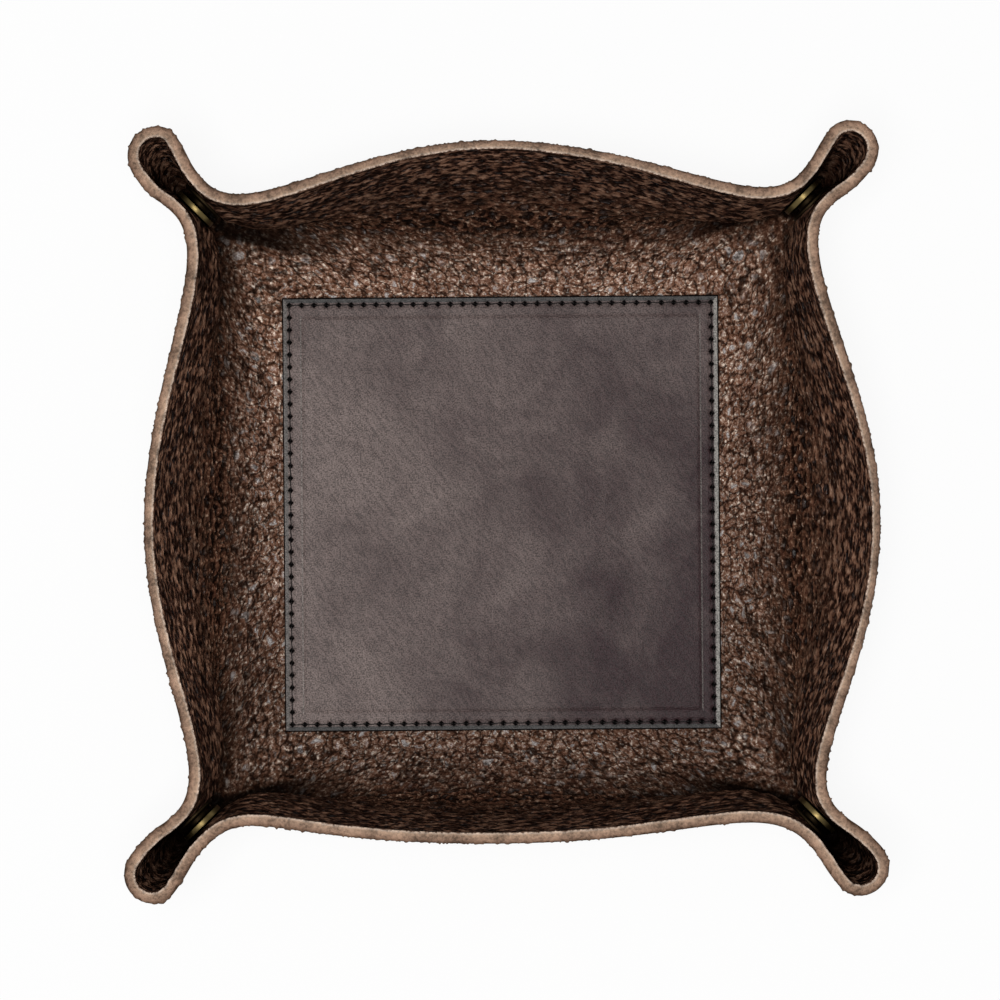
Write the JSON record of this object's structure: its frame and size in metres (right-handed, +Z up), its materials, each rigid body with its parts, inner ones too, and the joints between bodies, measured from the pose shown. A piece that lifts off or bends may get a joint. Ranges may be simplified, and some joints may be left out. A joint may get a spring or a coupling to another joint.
{
  "type": "snapped corner leather valet tray",
  "caption": "Shallow square tray of thick pebbled leather with snapped, pinched corners that stand as looped ears, and a smooth sewn patch on its floor.",
  "frame": {"origin": "middle of the footprint, on the surface that the tray stands on", "axes": "+Z up, +Y towards the wall that is at the top of the picture, +X to its right"},
  "size_m": [0.2054, 0.2102, 0.0414],
  "materials": {
    "body_leather": "dark brown shrunken leather with a pebbled grain, raw tan cut edges",
    "patch_leather": "smooth grey-purple leather, softly mottled, satin",
    "sewing_thread": "black waxed sewing thread",
    "snap_brass": "antique brass press stud, darkened, satin",
    "spring_wire": "bright drawn spring wire"
  },
  "bodies": {
    "tray": {"leather_body": "body_leather", "center_patch": "patch_leather", "needle_thread": "sewing_thread", "bobbin_thread": "sewing_thread", "back_right_snap_stud": "snap_brass", "back_right_snap_post": "snap_brass", "back_left_snap_stud": "snap_brass", "back_left_snap_post": "snap_brass", "front_left_snap_stud": "snap_brass", "front_left_snap_post": "snap_brass", "front_right_snap_stud": "snap_brass", "front_right_snap_post": "snap_brass"},
    "back_right_snap_half": {"back_right_snap_cap": "snap_brass", "back_right_snap_socket": "snap_brass", "back_right_snap_spring": "spring_wire"},
    "back_left_snap_half": {"back_left_snap_cap": "snap_brass", "back_left_snap_socket": "snap_brass", "back_left_snap_spring": "spring_wire"},
    "front_left_snap_half": {"front_left_snap_cap": "snap_brass", "front_left_snap_socket": "snap_brass", "front_left_snap_spring": "spring_wire"},
    "front_right_snap_half": {"front_right_snap_cap": "snap_brass", "front_right_snap_socket": "snap_brass", "front_right_snap_spring": "spring_wire"}
  },
  "joints": [
    {"name": "back_right_corner_unsnap", "type": "hinge", "parent": "tray", "child": "back_right_snap_half", "pos_m": [0.08664, 0.09025, 0.01411], "axis": [-0.533, -0.533, -0.6571], "range_deg": [0, 40], "deforming": ["leather_body", "back_right_snap_spring"]},
    {"name": "back_left_corner_unsnap", "type": "hinge", "parent": "tray", "child": "back_left_snap_half", "pos_m": [-0.08919, 0.08841, 0.01411], "axis": [0.533, -0.533, -0.6571], "range_deg": [0, 40], "deforming": ["leather_body", "back_left_snap_spring"]},
    {"name": "front_left_corner_unsnap", "type": "hinge", "parent": "tray", "child": "front_left_snap_half", "pos_m": [-0.0887, -0.08919, 0.01411], "axis": [0.533, 0.533, -0.6571], "range_deg": [0, 40], "deforming": ["leather_body", "front_left_snap_spring"]},
    {"name": "front_right_corner_unsnap", "type": "hinge", "parent": "tray", "child": "front_right_snap_half", "pos_m": [0.08884, -0.08834, 0.01411], "axis": [-0.533, 0.533, -0.6571], "range_deg": [0, 40], "deforming": ["leather_body", "front_right_snap_spring"]}
  ]
}
